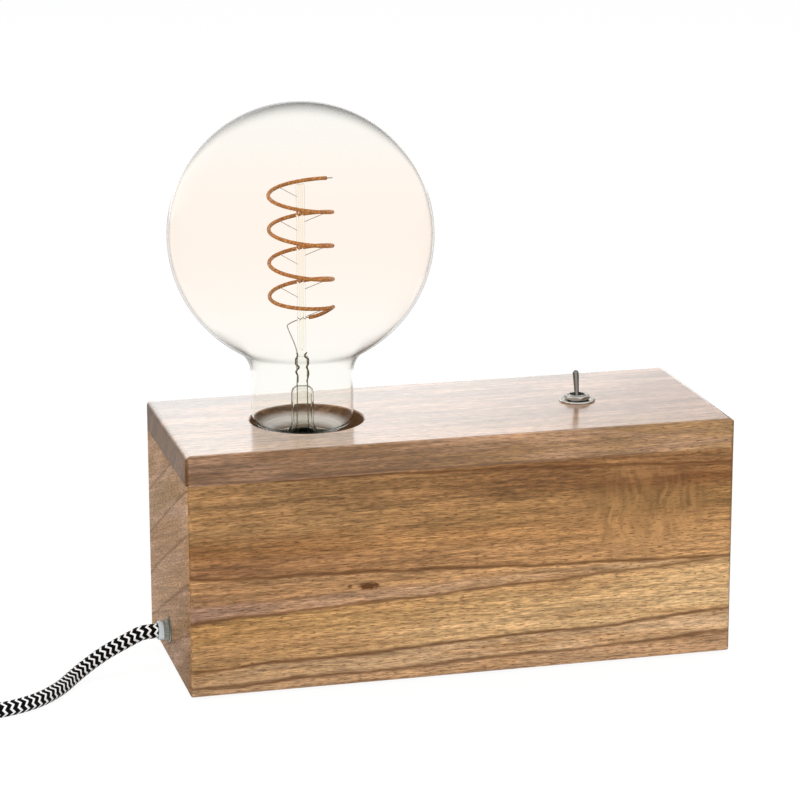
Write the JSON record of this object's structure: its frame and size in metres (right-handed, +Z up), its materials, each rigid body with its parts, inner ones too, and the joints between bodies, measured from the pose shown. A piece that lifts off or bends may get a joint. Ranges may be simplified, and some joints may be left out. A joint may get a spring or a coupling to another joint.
{
  "type": "bare bulb table lamp",
  "caption": "Table lamp: a clear globe bulb with a spiral filament stands in a round well in a wooden block with a metal toggle switch and a braided cord with a flat plug.",
  "frame": {"origin": "on the table, under the middle of the wooden block", "axes": "+X along the block from the cord to the switch, +Y to the back, +Z up"},
  "size_m": [0.4539, 0.1381, 0.2685],
  "materials": {
    "wood": "satin",
    "inner_wood": "matt",
    "nickel": "satin",
    "steel": "satin",
    "brass": "satin",
    "black_plastic": "gloss",
    "plug_plastic": "matt",
    "white_plastic": "matt",
    "switch_plastic": "matt",
    "brown_plastic": "matt",
    "blue_plastic": "matt",
    "board_green": "satin",
    "steatite": "glazed ceramic",
    "clear_glass": "clear",
    "rubber": "matt",
    "filament": "matt",
    "braid": "woven"
  },
  "bodies": {
    "base": {"top_board": "wood", "front_board": "wood", "back_board": "wood", "left_end_board": "wood", "right_end_board": "wood", "glue_blocks": "inner_wood", "bottom_panel": "inner_wood", "bottom_screws": "steel", "rubber_pads": "rubber", "holder_shell": "black_plastic", "holder_base": "black_plastic", "threaded_sleeve": "brass", "contact_block": "steatite", "centre_contact": "brass", "holder_terminals": "brass", "hollow_nipple": "steel", "nipple_nuts": "steel", "holder_bracket": "steel", "bracket_screws": "steel", "lever_pin": "steel", "switch_bushing": "nickel", "dress_washer": "nickel", "switch_nut": "nickel", "lock_washer": "steel", "switch_body": "switch_plastic", "switch_lugs": "brass", "cord_gland": "nickel", "gland_locknut": "steel", "cord_clamp": "white_plastic", "clamp_screws": "steel", "inner_cord": "braid", "cord_cores": "brown_plastic", "terminal_block": "white_plastic", "live_lead": "brown_plastic", "switched_lead": "brown_plastic", "neutral_lead": "blue_plastic", "cord_lead": "braid", "cord_coil": "braid", "cord_tail": "braid", "plug_body": "plug_plastic", "plug_pins": "nickel"},
    "cap_contact": {"cap_contact": "steel"},
    "bulb": {"bulb_glass": "clear_glass", "bulb_cap": "nickel", "cap_insulator": "black_plastic", "driver_board": "board_green", "glass_stem": "clear_glass", "glass_rod": "clear_glass", "filament_spiral": "filament", "support_wires": "steel", "filament_leads": "steel"},
    "lever": {"toggle_lever": "nickel"}
  },
  "joints": [
    {"name": "bulb_rise", "type": "slide", "parent": "base", "child": "cap_contact", "axis": [0, 0, 1], "range_m": [0, 0.01452]},
    {"name": "bulb_turn", "type": "hinge", "parent": "cap_contact", "child": "bulb", "pos_m": [-0.066, 0, 0.096], "axis": [0, 0, 1], "range_deg": [0, 1440]},
    {"name": "toggle", "type": "hinge", "parent": "base", "child": "lever", "pos_m": [0.07, 0, 0.1172], "axis": [1, 0, 0], "range_deg": [0, 24]}
  ],
  "couplings": [
    {"joint": "bulb_rise", "follows": "bulb_turn", "m_per_rad": 0.00057751}
  ]
}
